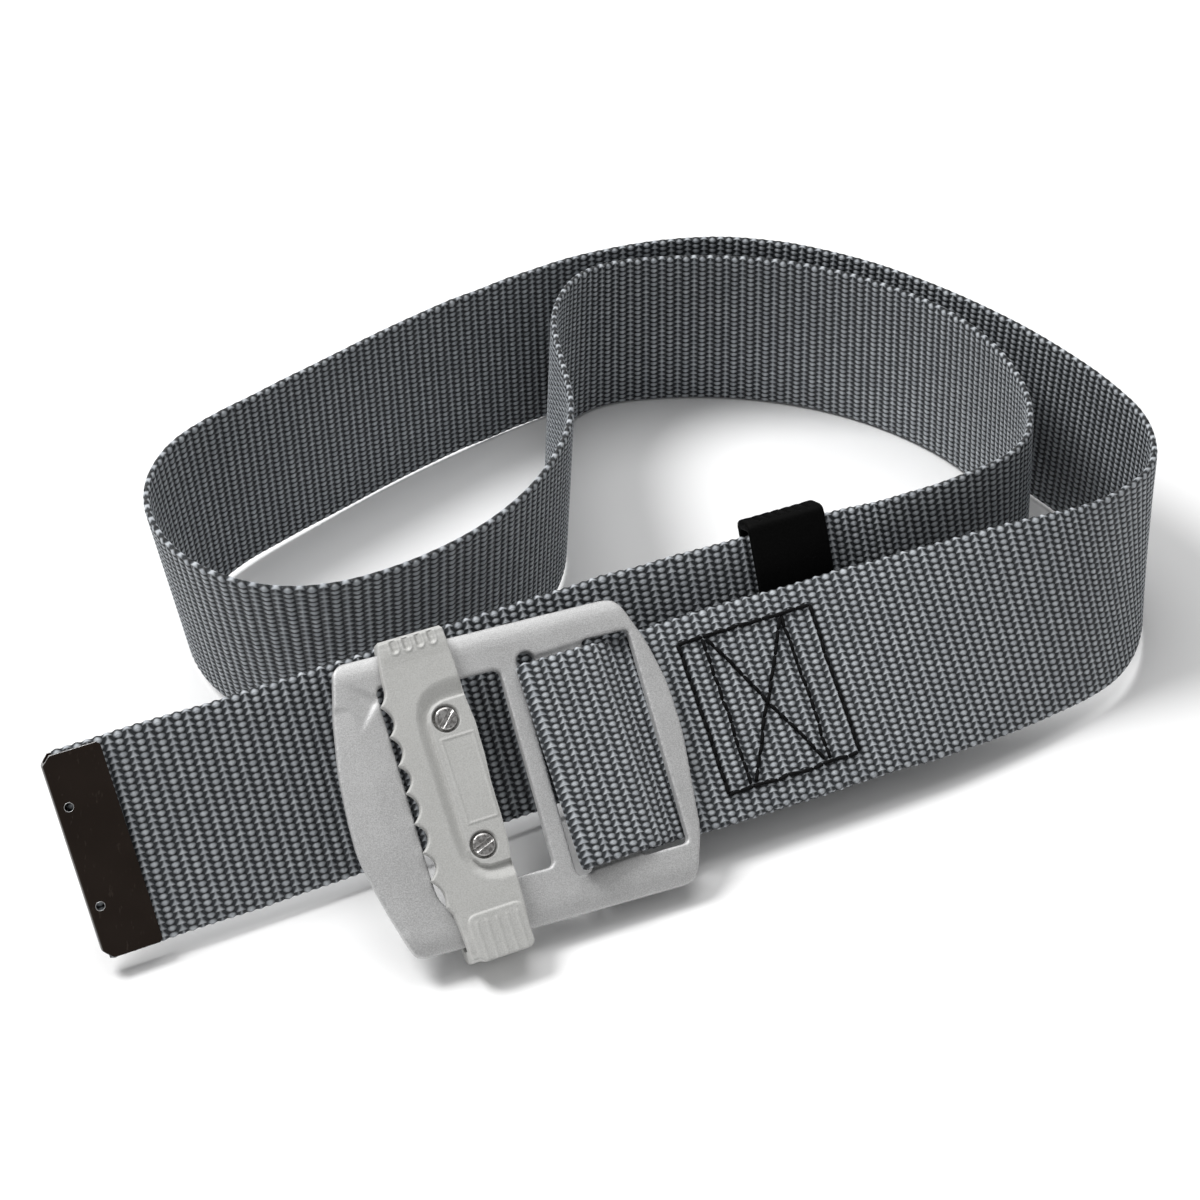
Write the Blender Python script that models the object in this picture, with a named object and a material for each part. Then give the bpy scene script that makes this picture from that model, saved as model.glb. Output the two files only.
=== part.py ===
# Slide buckle belt: woven strap standing on its edge, cast frame, toothed slider, keeper loop, metal tip.
# Sizes are in millimetres, and the last step sets the belt down on the floor in metres.
import math
import bpy
import bmesh
import numpy as np
from mathutils import Matrix, Vector

for old in list(bpy.data.objects):
    bpy.data.objects.remove(old, do_unlink=True)

# webbing
WIDTH = 50.0          # strap width
THICK = 1.8           # strap thickness
GAP = 0.3             # running gap between pieces
STEP = 5.0            # distance between stations along the strap
EASE = 6.0            # half length over which turns are eased
CAP_IN = 11.3         # strap length inside the tip
START = (-102.1, 377.7, 23.2)   # lower edge at the tip's mouth: x, y, heading in degrees

# strap laid out from the tip to the crossbar: length in mm, turn to the left in degrees over that length
RUNS = [
    (125, 2), (20, -3.5), (40, 0), (20, 17), (15, 5), (20, 19.5),              # free end and keeper
    (25, 32), (20, 17), (25, 21.5), (35, 22.5), (40, 23), (20, 10),                # inner right bend
    (20, 53), (25, 35), (25, 2),                                                  # into the crossing
    (20, -24.5), (20, -18), (30, -24.5), (25, -18), (25, -45.5), (15, -22.5),      # inner left loop
    (20, -30), (20, -36), (15, -17), (15, -2.5), (20, 0), (65, -11),              # outer left bend
    (20, -12), (20, -12), (25, -22.5), (30, -16.5), (40, -13.5),                   # long back run
    (35, -11), (20, -13.5), (20, -26.5), (20, -22), (15, -23.5), (20, -7),         # outer right bend
    (40, -7.5), (72, 0),                                                          # front run to the crossbar
]
# lean of the strap from upright, in degrees, at distances along it
LEAN = [
    (-15, 30), (40, 29.5), (70, 30.5), (110, 30.5), (146, 26), (184, 26), (205, 18), (240, 3), (500, 4), (570, 8),
    (630, 6), (665, 0), (955, 1), (975, -3), (995, -15), (1010, -23), (1030, -33), (1075, -50.5), (1250, -50.5),
]
# height of the lower edge above the rest of the strap
LIFT = [(-15, 0), (975, 0), (1075, 5.5), (1250, 5.5)]

# buckle frame, in its own plane: x along the strap, y across it
FRAME_TURN = -2.5     # turn of the frame against the strap
FRAME_AT = (1.2, 0.0)
FRAME_T = 3.0
RAIL_CURL = 1.1       # how far the rails' outer edges curve back
FRAME_OUTLINE = [
    (-53.5, 34.5), (-56.5, 23), (-58.7, 10), (-59.3, 0), (-59.3, -9), (-56.6, -21), (-53, -33), (-51.2, -34.5),
    (14.2, -34.5), (16, -32.5), (19.4, -23), (20.8, -10), (21.9, 0), (21.6, 12), (19.6, 22), (15.8, 32.5), (13.6, 34.5),
]
WINDOW_LEFT = [
    (-38, 27.2), (-38, 24.7), (-17.4, 24.7), (-16.4, 23.7), (-16.4, -21.3), (-17.4, -22.3),
    (-38, -22.3), (-38, -24.8), (-42.7, -24.8), (-43.5, -24.0), (-44.1, -22.8), (-44.5, -20.9), (-44.7, -16),
    (-45.4, 25.6), (-45.1, 26.6), (-44.4, 27.2),
]
# left, right, lower, upper, radius of the upper corners and of the lower ones
SLOT = (-12.0, -7.6, -25.9, 27.0, 2.1, 1.1)
WINDOW_RIGHT = (4.2, 15.8, -25.3, 26.5, 1.2, 1.2)
RIDGE_X = -52.0       # ridge line of the left bar
RIDGE_DROP = 0.9      # how far its edges fall from the ridge

# sewn end, in the buckle plane: x along the strap, z out of the plane, at mid thickness
BAR_T = 1.9           # crossbar thickness
FRAME_Z = 2.7         # frame's middle plane over the strap's middle layer
TAIL_X = 69.3         # end of the tail
SPLIT_X = 25.5        # where the two layers part
LOOP_WIDTH = 49.0     # strap width where it is squeezed through the frame
# middle of the single layer: under the right bar, over the crossbar, round it and back under the right bar
LOOP_PATH = [
    (20, 0), (15, 0), (13, 0.9), (11, 2.1), (9, 3.5), (7, 4.75), (3.5, 5.25), (0, 5.7), (-4, 6.2), (-6.8, 6.8),
    (-8.4, 7.2), (-9.7, 7.1), (-10.4, 6.4), (-10.2, 5.7), (-9.3, 5.15), (-8.55, 4.3), (-8.6, 3.2), (-8.6, 2.4),
    (-8.55, 1.5),
    (-8.0, 0.6), (-6.8, 0.1), (-5, 0), (-2, -0.2), (3, -1.3), (9, -2.4), (15, -2.5), (20, -2.2),
]

# slider, in the frame's plane directions but square to the strap
SLIDER_AT = (1.1, 0.1)
PLATE_Z = (1.8, 4.6)                          # back and front of the plate over the frame's middle plane
# toothed edge from top to bottom: gap bottoms and tooth tips in turn, as x and y
TEETH = [
    (-42.7, 27.9), (-44.7, 24.3), (-42.8, 20.3), (-44.8, 17.2), (-42.95, 13.8), (-45.0, 10.4), (-43.05, 7.1),
    (-45.2, 4.0), (-43.25, 0.4), (-45.5, -3.1), (-43.45, -6.4), (-45.7, -9.9), (-43.75, -13.1), (-46.0, -16.4),
    (-44.0, -20.5), (-44.4, -23.1),
]
RIGHT_SIDE = [
    (-29, -37), (-28.4, -33.6), (-27.3, -27.9), (-27, -21.8), (-27.1, -17.1), (-26.4, -12.5), (-26.3, -0.6),
    (-25.1, 7), (-25.0, 15), (-26, 21.7), (-25.3, 29.2), (-25.6, 40),
]
RECESS = [
    (-24, 27), (-30, 26.6), (-34.5, 25.2), (-37.3, 22.6), (-38.5, 19), (-38.5, -14), (-37.3, -17), (-33.5, -20.8),
    (-30, -22), (-24, -22),
]
ISLAND = [
    (-24, 21.7), (-31.3, 21.7), (-34.6, 20.4), (-35.8, 17.5), (-35.8, -12.5), (-34.8, -15.6), (-32.2, -17.2),
    (-24, -17.2),
]
SCREWS = [("slider_screw_upper", -31.4, 17.5, 45), ("slider_screw_lower", -32.1, -12.2, 20)]
LABEL = (-34.0, -26.6, -6.8, 13.0)
# hooks round the rails: left, right, outer end, inner face beside the rail
GRIP_TOP = (-40.6, -25.9, 38.7, 36.5)
GRIP_LOW = (-42.6, -28.2, -36.7, 33.75)
LIP = 3.4             # how far the hooks reach in behind the rails

# keeper and tip
KEEPER_AT = 169.0
KEEPER = (20.0, 8.2, 1.7)                     # length along the strap, depth, wall
TIP_S = (-13.5, 0.15)
TIP_WALL = 0.6
TIP_HOLES = [(-10.6, 36.9), (-10.8, 12.9)]    # along the strap, across it
TIP_SKEW = 0.034      # the tip is pressed on slightly askew


def material(name, color, metallic, roughness):
    mat = bpy.data.materials.new(name)
    mat.use_nodes = True
    shader = mat.node_tree.nodes["Principled BSDF"]
    shader.inputs["Base Color"].default_value = (*color, 1)
    shader.inputs["Metallic"].default_value = metallic
    shader.inputs["Roughness"].default_value = roughness
    return mat


# strap path
def eased(rows, s):
    xs, ys = np.array(rows, float).T
    offs = np.linspace(-EASE, EASE, 5)
    return sum(np.interp(s + o, xs, ys) for o in offs) / len(offs)


def strap_path(ds=1.0):
    ends = np.concatenate([[0], np.cumsum([r[0] for r in RUNS])])
    head = START[2] + np.concatenate([[0], np.cumsum([r[1] for r in RUNS])])
    s = np.arange(0, ends[-1] + 1e-6, ds)
    h = np.radians(eased(list(zip(ends, head)), s))
    dx, dy = np.cos(h) * ds, np.sin(h) * ds
    x = START[0] + np.concatenate([[0], np.cumsum((dx[1:] + dx[:-1]) / 2)])
    y = START[1] + np.concatenate([[0], np.cumsum((dy[1:] + dy[:-1]) / 2)])
    return s, x, y, h


S, PX, PY, HEAD = strap_path()
S_END = float(S[-1])


def place(s):
    """Lower edge point, direction along, direction up the strap, and normal (facing front at the tip)."""
    h = float(np.interp(s, S, HEAD))
    x = float(np.interp(s, S, PX)) + min(s, 0) * math.cos(h)
    y = float(np.interp(s, S, PY)) + min(s, 0) * math.sin(h)
    lean = math.radians(float(eased(LEAN, s)))
    along = Vector((math.cos(h), math.sin(h), 0))
    up = Vector((-math.sin(h) * math.sin(lean), math.cos(h) * math.sin(lean), math.cos(lean)))
    return Vector((x, y, float(eased(LIFT, s)))), along, up, along.cross(up)


def strap_point(s, v, w):
    base, along, up, out = place(s)
    return base + up * v + out * w


# buckle plane: x runs back along the strap from its end, z faces front
END, _along, UP, _out = place(S_END)
AXIS_X = -_along
AXIS_Z = AXIS_X.cross(UP)


def buckle(x, y, z):
    """y counts from the strap's middle line."""
    return END + AXIS_X * x + UP * (y + WIDTH / 2) + AXIS_Z * z


def frame_point(x, y, z):
    a = math.radians(FRAME_TURN)
    return buckle(x * math.cos(a) - y * math.sin(a) + FRAME_AT[0], x * math.sin(a) + y * math.cos(a) + FRAME_AT[1],
                  z + FRAME_Z)


def slider_point(x, y, z):
    return buckle(x + SLIDER_AT[0], y + SLIDER_AT[1], z + FRAME_Z)


# mesh helpers
def finish(bm, name, mat, move=None):
    if move:
        for v in bm.verts:
            v.co = move(*v.co)
    bmesh.ops.recalc_face_normals(bm, faces=bm.faces)
    if bm.calc_volume(signed=True) < 0:
        bmesh.ops.reverse_faces(bm, faces=bm.faces)
    mesh = bpy.data.meshes.new(name)
    bm.to_mesh(mesh)
    bm.free()
    mesh.materials.append(mat)
    ob = bpy.data.objects.new(name, mesh)
    bpy.context.scene.collection.objects.link(ob)
    return ob


def rounded(x0, x1, y0, y1, r, low=None, n=4):
    pts = []
    q = low or r
    for cx, cy, a0, r in [(x1 - r, y1 - r, 0, r), (x0 + r, y1 - r, 90, r), (x0 + q, y0 + q, 180, q),
                          (x1 - q, y0 + q, 270, q)]:
        for k in range(n + 1):
            a = math.radians(a0 + 90 * k / n)
            pts.append((cx + r * math.cos(a), cy + r * math.sin(a)))
    return pts


def circle(x, y, r, n=20, turn=0.0):
    return [(x + r * math.cos(turn + 2 * math.pi * k / n), y + r * math.sin(turn + 2 * math.pi * k / n))
            for k in range(n)]


def smooth(pts, reach):
    """Closed outline with every corner cut off at the given reach, twice for a round look."""
    for r in (reach, reach * 0.3):
        out = []
        for k, p in enumerate(pts):
            for q in (pts[k - 1], pts[(k + 1) % len(pts)]):
                d = min(r / math.dist(p, q), 0.3)
                out.append((p[0] + (q[0] - p[0]) * d, p[1] + (q[1] - p[1]) * d))
        pts = out
    return pts


def plate(loops, z0, z1):
    """Closed plate from an outline and holes."""
    bm = bmesh.new()
    edges = []
    for pts in loops:
        vs = [bm.verts.new((x, y, z0)) for x, y in pts]
        edges += [bm.edges.new((vs[k], vs[(k + 1) % len(vs)])) for k in range(len(vs))]
    bmesh.ops.triangle_fill(bm, use_beauty=True, use_dissolve=False, edges=edges)
    bmesh.ops.dissolve_limit(bm, angle_limit=0.001, verts=bm.verts, edges=bm.edges)
    res = bmesh.ops.extrude_face_region(bm, geom=list(bm.faces))
    for v in [g for g in res["geom"] if isinstance(g, bmesh.types.BMVert)]:
        v.co.z = z1
    bmesh.ops.recalc_face_normals(bm, faces=bm.faces)
    return bm


def slice_at(bm, axis, values):
    normal = [Vector((1, 0, 0)), Vector((0, 1, 0)), Vector((0, 0, 1))][axis]
    for v in values:
        bmesh.ops.bisect_plane(bm, geom=bm.verts[:] + bm.edges[:] + bm.faces[:], dist=1e-5, plane_co=normal * v,
                               plane_no=normal)


def bevel_rims(bm, width, pick):
    edges = [e for e in bm.edges if len(e.link_faces) == 2 and e.calc_face_angle() > 0.9 and pick(e)]
    bmesh.ops.bevel(bm, geom=edges, offset=width, offset_type="OFFSET", segments=1, profile=0.5, affect="EDGES",
                    clamp_overlap=True)


def combine(ob, other, operation):
    mod = ob.modifiers.new("cut", "BOOLEAN")
    mod.operation = operation
    mod.solver = "EXACT"
    mod.object = other
    dg = bpy.context.evaluated_depsgraph_get()
    mesh = bpy.data.meshes.new_from_object(ob.evaluated_get(dg))
    ob.modifiers.clear()
    ob.data = mesh
    bpy.data.objects.remove(other, do_unlink=True)


def cut(ob, bm, operation="DIFFERENCE"):
    bmesh.ops.recalc_face_normals(bm, faces=bm.faces)
    mesh = bpy.data.meshes.new("tool")
    bm.to_mesh(mesh)
    bm.free()
    tool = bpy.data.objects.new("tool", mesh)
    bpy.context.scene.collection.objects.link(tool)
    combine(ob, tool, operation)


def clean(ob, mat, move):
    bm = bmesh.new()
    bm.from_mesh(ob.data)
    bmesh.ops.remove_doubles(bm, verts=bm.verts, dist=0.0001)
    bmesh.ops.dissolve_degenerate(bm, edges=bm.edges, dist=0.0001)
    bmesh.ops.triangulate(bm, faces=bm.faces)
    name = ob.name
    bpy.data.objects.remove(ob, do_unlink=True)
    return finish(bm, name, mat, move)


# webbing strap
def build_strap(mat):
    bm = bmesh.new()
    half = THICK / 2

    def pair(point_of, w):
        return [bm.verts.new(point_of(v, w)) for v in (0.0, WIDTH)]

    def join(a, b):
        bm.faces.new((a[0], b[0], b[1], a[1]))

    def side(quad):
        """Both edge faces of one cell of the strap."""
        for k in (0, 1):
            bm.faces.new([p[k] for p in quad])

    s_tail = S_END - TAIL_X
    s_split = S_END - SPLIT_X
    single = list(np.linspace(-CAP_IN, s_tail, int((s_tail + CAP_IN) / STEP) + 1))
    double = list(np.linspace(s_tail, s_split, int((s_split - s_tail) / STEP) + 1))[1:]
    rows = [(pair(lambda v, w, s=s: strap_point(s, v, w), half), pair(lambda v, w, s=s: strap_point(s, v, w), -half))
            for s in single]
    for (a, b), (c, d) in zip(rows, rows[1:]):
        join(a, c)
        join(b, d)
        side((a, c, d, b))
    join(rows[0][0], rows[0][1])
    # sewn double stretch: front face, shared middle line, back face
    inner, front = rows[-1]
    tail = pair(lambda v, w: strap_point(s_tail, v, w), half + THICK)
    join(inner, tail)
    for s in double:
        front2 = pair(lambda v, w: strap_point(s, v, w), -half)
        mid2 = pair(lambda v, w: strap_point(s, v, w), half)
        tail2 = pair(lambda v, w: strap_point(s, v, w), half + THICK)
        join(front, front2)
        join(tail, tail2)
        side((inner, mid2, front2, front))
        side((inner, tail, tail2, mid2))
        front, inner, tail = front2, mid2, tail2
    # the open loop round the crossbar
    mids = LOOP_PATH
    outer_prev, inner_prev = front, inner
    for k, (x, z) in enumerate(mids):
        px, pz = mids[max(k - 1, 0)]
        nx, nz = mids[min(k + 1, len(mids) - 1)]
        t = Vector((nx - px, nz - pz)).normalized()
        n = Vector((-t.y, t.x))          # toward the crossbar side after the turn, to the front before it
        fit = LOOP_WIDTH / WIDTH
        outer = pair(lambda v, w: buckle(x - n.x * half, (v - WIDTH / 2) * fit, z - n.y * half), 0)
        inn = pair(lambda v, w: buckle(x + n.x * half, (v - WIDTH / 2) * fit, z + n.y * half), 0)
        join(outer_prev, outer)
        join(inner_prev, inn)
        side((outer_prev, outer, inn, inner_prev))
        outer_prev, inner_prev = outer, inn
    join(outer_prev, tail)
    join(inner_prev, inner)
    side((outer_prev, tail, inner, inner_prev))
    bmesh.ops.triangulate(bm, faces=bm.faces)
    return finish(bm, "webbing_strap", mat)


# buckle frame
def build_frame(mat):
    outline = smooth(FRAME_OUTLINE, 1.6)
    loops = [outline, WINDOW_LEFT, rounded(*SLOT), rounded(*WINDOW_RIGHT)]
    bm = plate(loops, -FRAME_T / 2, FRAME_T / 2)
    slice_at(bm, 1, [30, 31.5, 33, -30, -31.5, -33])
    slice_at(bm, 0, [RIDGE_X])
    slice_at(bm, 1, [-27, 24])

    def shape(x, y, z):
        curl = max(abs(y) - 30, 0) / 4.5
        front = z > 0
        z -= RAIL_CURL * curl * curl
        if x < -46 and front and -27.1 < y < 24.1:
            z -= RIDGE_DROP * min(abs(x - RIDGE_X) / 7, 1)
        if -7.7 < x < 4.3 and abs(y) < 27.5:
            z *= BAR_T / FRAME_T
        return frame_point(x, y, z)

    bevel_rims(bm, 0.35, lambda e: abs(abs(e.verts[0].co.z) - FRAME_T / 2) < 0.01
               and abs(e.verts[0].co.z - e.verts[1].co.z) < 0.01)
    bmesh.ops.triangulate(bm, faces=bm.faces)
    return finish(bm, "buckle_frame", mat, shape)


# slider
def extruded(profile, x0, x1):
    """Profile in y and z, run along x."""
    bm = bmesh.new()
    vs = [bm.verts.new((x0, y, z)) for y, z in profile]
    bm.faces.new(vs)
    res = bmesh.ops.extrude_face_region(bm, geom=list(bm.faces))
    for v in [g for g in res["geom"] if isinstance(g, bmesh.types.BMVert)]:
        v.co.x = x1
    bmesh.ops.recalc_face_normals(bm, faces=bm.faces)
    return bm


def build_slider(mat):
    left = [(-41.2, 40), (-41.9, 35), (-42.6, 30)]
    for k, ((xa, ya), (xb, yb)) in enumerate(zip(TEETH, TEETH[1:])):
        for f in (0.0, 0.25, 0.5, 0.75, 0.92):
            # round gap bottoms, blunt tips
            bow = f ** 2.2 if k % 2 == 0 else 1 - (1 - f) ** 2.2
            left.append((xa + (xb - xa) * bow, ya + (yb - ya) * f))
    left += [TEETH[-1], (-43.3, -25), (-43.0, -28), (-42.8, -32), (-42.8, -37)]
    outline = left + RIGHT_SIDE
    bm = plate([outline], *PLATE_Z)
    bevel_rims(bm, 0.5, lambda e: min(v.co.z for v in e.verts) > PLATE_Z[1] - 0.01)
    ob = finish(bm, "slider", mat)
    # the hooks that run round the rails
    z0, z1 = PLATE_Z
    for (xa, xb, tip_y, edge), sign in [(GRIP_TOP, 1), (GRIP_LOW, -1)]:
        end = abs(tip_y)
        back = -(FRAME_T / 2 + RAIL_CURL + 0.35)
        prof = [(edge - 4, z0 - 0.05), (edge - 4, z1 - 0.1), (edge - 2, z1 + 0.2), (end - 1.8, z1 + 0.1),
                (end - 0.5, z1 - 0.9), (end, z1 - 2.4), (end, back + 0.6), (end - 0.8, back - 1.2),
                (end - 2.2, back - 1.7), (edge - LIP, back - 1.4), (edge - LIP, back - 0.2),
                (edge - 0.6, back), (edge, back + 0.8), (edge, z0 - 0.4), (edge - 0.6, z0)]
        cut(ob, extruded([(sign * y, z) for y, z in prof], xa, xb), "UNION")
    # recess with its raised plate
    bm = bmesh.new()
    rim = [bm.verts.new((x, y, z1 + 0.5)) for x, y in RECESS]
    cy = 2.0
    low = [bm.verts.new((x + (0 if x > -25 else 1.6), cy + (y - cy) * 0.93, z1 - 1.5)) for x, y in RECESS]
    n = len(RECESS)
    for k in range(n):
        bm.faces.new((rim[k], rim[(k + 1) % n], low[(k + 1) % n], low[k]))
    bm.faces.new(rim)
    bm.faces.new(low)
    cut(ob, bm)
    island = plate([ISLAND], z1 - 1.7, z1 - 0.35)
    bevel_rims(island, 0.3, lambda e: min(v.co.z for v in e.verts) > z1 - 0.36)
    for v in island.verts:
        if v.co.x > -24.5:
            v.co.x = float(np.interp(v.co.y, [p[1] for p in RIGHT_SIDE], [p[0] for p in RIGHT_SIDE])) - 0.02
    cut(ob, island, "UNION")
    for _, x, y, _a in SCREWS:
        cut(ob, plate([circle(x, y, 3.1)], z1 - 1.5, z1 + 1))
        cut(ob, plate([circle(x, y, 1.5, 12)], z0 - 1, z1))
    a, b, c, d = LABEL
    ring = plate([rounded(a, b, c, d, 1.0), rounded(a + 0.5, b - 0.5, c + 0.5, d - 0.5, 0.7)], z1 - 0.6, z1 - 0.1)
    cut(ob, ring, "UNION")
    # grooves of the upper grip and ribs of the lower one
    for x in (-37.9, -34.9, -31.9, -28.9):
        cut(ob, plate([rounded(x - 0.5, x + 0.5, 35.3, 42, 0.49, n=3)], z1 - 0.5, z1 + 2))
    for x in (-39.3, -36.9, -34.5, -32.1, -29.7):
        cut(ob, plate([rounded(x - 0.35, x + 0.35, -36.2, -28.5, 0.34, n=3)], z1 - 0.3, z1 + 2))
    return clean(ob, mat, slider_point)


def build_screw(name, x, y, turn, mat):
    z1 = PLATE_Z[1]
    seat = z1 - 1.5 + GAP
    rings = [(2.5, seat), (2.65, seat + 0.3), (2.65, seat + 0.9), (2.2, seat + 1.35)]
    bm = bmesh.new()
    n = 20
    rows = [[bm.verts.new((px, py, PLATE_Z[0] - 0.2)) for px, py in circle(0, 0, 1.15, n)],
            [bm.verts.new((px, py, seat)) for px, py in circle(0, 0, 1.15, n)]]
    rows += [[bm.verts.new((px, py, z)) for px, py in circle(0, 0, r, n)] for r, z in rings]
    for a, b in zip(rows, rows[1:]):
        for k in range(n):
            bm.faces.new((a[k], a[(k + 1) % n], b[(k + 1) % n], b[k]))
    bm.faces.new(rows[0])
    bm.faces.new(rows[-1])
    ob = finish(bm, name, mat)
    slot = plate([[(-4, -0.4), (4, -0.4), (4, 0.4), (-4, 0.4)]], seat + 0.75, seat + 3)
    bmesh.ops.rotate(slot, verts=slot.verts, cent=(0, 0, 0), matrix=Matrix.Rotation(math.radians(turn), 3, "Z"))
    cut(ob, slot)
    return clean(ob, mat, lambda a, b, c: slider_point(a + x, b + y, c))


# keeper and tip
def build_keeper(mat):
    length, depth, wall = KEEPER
    x0, x1 = -depth / 2, depth / 2
    y0, y1 = -GAP - wall * 0.8, WIDTH + 3.6
    bm = plate([rounded(x0, x1, y0, y1, 2.0), rounded(x0 + wall, x1 - wall, -GAP, y1 - wall * 1.4, 0.6, n=2)],
               -length / 2, length / 2)
    bevel_rims(bm, 0.5, lambda e: abs(abs(e.verts[0].co.z) - length / 2) < 0.01
               and abs(e.verts[0].co.z - e.verts[1].co.z) < 0.01)
    ob = finish(bm, "keeper", mat)
    for k in range(6):
        z = -8.0 + 2.6 * k + 1.5
        bm = plate([rounded(x0 + 1.2, x1 - 1.2, y1 - 0.6, y1 + 1, 0.3, n=2)], z - 0.5, z + 0.5)
        cut(ob, bm)
    base, along, up, out = place(KEEPER_AT)
    return clean(ob, mat, lambda w, v, t: base + along * t + up * v + out * w)


def build_tip(mat):
    a, b = TIP_S
    inner = THICK / 2 + GAP
    outer = inner + TIP_WALL
    # folded sheet: profile along the strap and through it, run across the strap
    prof = [(b, outer), (a + 0.9, outer), (a + 0.25, outer - 0.35), (a, outer - 1.0), (a, 1.0 - outer),
            (a + 0.25, 0.35 - outer), (a + 0.9, -outer), (b, -outer), (b, -inner), (a + 1.2, -inner),
            (a + 0.7, -inner + 0.5), (a + 0.7, inner - 0.5), (a + 1.2, inner), (b, inner)]
    bm = bmesh.new()
    lo, hi = 0.4, WIDTH - 0.6
    vs = [bm.verts.new((x, lo, z)) for x, z in prof]
    bm.faces.new(vs)
    res = bmesh.ops.extrude_face_region(bm, geom=list(bm.faces))
    for v in [g for g in res["geom"] if isinstance(g, bmesh.types.BMVert)]:
        v.co.y = hi
    ob = finish(bm, "end_tip", mat)
    c = 2.2
    for y, s in [(lo, 1), (hi, -1)]:
        corner = [(a - 1, y - s), (a + c, y - s), (a + c, y), (a, y + s * c), (a - 1, y + s * c)]
        cut(ob, plate([corner], -5, 5))
        mouth = [(b + 1, y - s), (b - 0.8, y - s), (b - 0.8, y), (b, y + s * 0.8), (b + 1, y + s * 0.8)]
        cut(ob, plate([mouth], -5, 5))
    for x, y in TIP_HOLES:
        cut(ob, plate([circle(x, y, 1.1, 14)], 0, 5))
    return clean(ob, mat, lambda s, v, w: strap_point(0, v, w) + place(0)[1] * (s + (WIDTH / 2 - v) * TIP_SKEW))


web = material("webbing_grey", (0.15, 0.16, 0.17), 0.0, 0.85)
cast = material("frame_cast", (0.46, 0.46, 0.47), 0.6, 0.45)
warm = material("slider_cast", (0.52, 0.51, 0.48), 0.3, 0.55)
bright = material("screw_steel", (0.6, 0.6, 0.6), 1.0, 0.25)
black = material("keeper_black", (0.012, 0.012, 0.013), 0.0, 0.45)
bronze = material("tip_metal", (0.03, 0.022, 0.018), 0.7, 0.25)

build_strap(web)
build_tip(bronze)
keeper = build_keeper(black)
build_frame(cast)
slider = build_slider(warm)
for screw_name, sx, sy, turn in SCREWS:
    build_screw(screw_name, sx, sy, turn, bright)

# set down on the floor
pieces = list(bpy.context.scene.collection.objects)
cloud = np.array([tuple(v.co) for ob in pieces for v in ob.data.vertices])
near = cloud[cloud[:, 1] < 450]
far = cloud[cloud[:, 1] > 530]


def tilted(points, angle):
    return points[:, 2] * math.cos(angle) + points[:, 1] * math.sin(angle)


lo, hi = -0.1, 0.1
for _ in range(40):
    mid = (lo + hi) / 2
    if tilted(near, mid).min() > tilted(far, mid).min():
        lo = mid
    else:
        hi = mid
REST_TILT = mid
turn = Matrix.Rotation(REST_TILT, 4, "X")
moved = cloud @ np.array(turn.to_3x3()).T
centre = (moved.min(axis=0) + moved.max(axis=0)) / 2
shift = Matrix.Translation((-centre[0], -centre[1], -moved[:, 2].min()))
to_floor = Matrix.Scale(0.001, 4) @ shift @ turn
for ob in pieces:
    ob.data.transform(to_floor)

# joint axes: the keeper's and the slider's origins sit at their own middles
key = {
    "keeper": place(KEEPER_AT)[0] + place(KEEPER_AT)[2] * (WIDTH / 2),
    "slider": slider_point(-34.5, 1.5, 3.0),
}
for name, point in key.items():
    ob = bpy.data.objects[name]
    at = to_floor @ point
    ob.data.transform(Matrix.Translation(-at))
    ob.location = at
print("rest tilt deg", round(math.degrees(REST_TILT), 3), "shift", [round(v, 4) for v in shift.translation])
for ob in pieces:
    print(ob.name, len(ob.data.polygons))
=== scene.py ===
# %% [markdown]
# # A slide buckle belt, dressed piece by piece
# The belt is one long band of heavy grey webbing lying on its edge. Its parts are the band, a metal tip, a black
# keeper loop, a cast frame, a toothed slider and two screws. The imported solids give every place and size, so this
# lesson only adds what the eye looks for: ribs and floats of the weave, thread, cast grain, lacquer and soft light.

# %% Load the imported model
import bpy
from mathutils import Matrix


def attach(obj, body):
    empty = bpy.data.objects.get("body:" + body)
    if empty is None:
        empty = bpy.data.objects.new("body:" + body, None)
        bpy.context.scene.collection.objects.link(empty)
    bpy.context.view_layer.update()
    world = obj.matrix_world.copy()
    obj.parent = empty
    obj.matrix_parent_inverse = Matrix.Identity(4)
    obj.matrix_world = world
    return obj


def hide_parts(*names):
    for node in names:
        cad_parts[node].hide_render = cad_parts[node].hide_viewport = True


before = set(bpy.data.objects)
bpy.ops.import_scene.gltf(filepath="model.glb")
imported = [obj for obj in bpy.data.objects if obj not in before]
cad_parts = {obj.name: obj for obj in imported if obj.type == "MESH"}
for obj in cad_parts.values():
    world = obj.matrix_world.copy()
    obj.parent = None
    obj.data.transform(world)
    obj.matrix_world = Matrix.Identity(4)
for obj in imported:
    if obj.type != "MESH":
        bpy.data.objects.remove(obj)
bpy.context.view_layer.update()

import math
import bmesh
import bpy
import numpy as np
from mathutils import Matrix, Vector

MM = 0.001

# %% [markdown]
# ## The camera
# The photograph looks down at about 40 degrees from 0.64 m away. The belt was laid out level and then set
# down with a tilt of about one degree, so the camera gets that same tilt and keeps its view of the belt.

# %% Camera
REST_TILT = math.radians(-1.042)
SET_DOWN = Matrix.Translation((-7.6145, -477.0066, 10.8149))
LAY_TO_FLOOR = Matrix.Scale(MM, 4) @ SET_DOWN @ Matrix.Rotation(REST_TILT, 4, "X")
CAMERA_HEIGHT = 427.995
PITCH_DOWN = math.radians(41.018)
ROLL = math.radians(-1.4628)
LENS = 36.0 * 2493.292 / 1200.0


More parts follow.
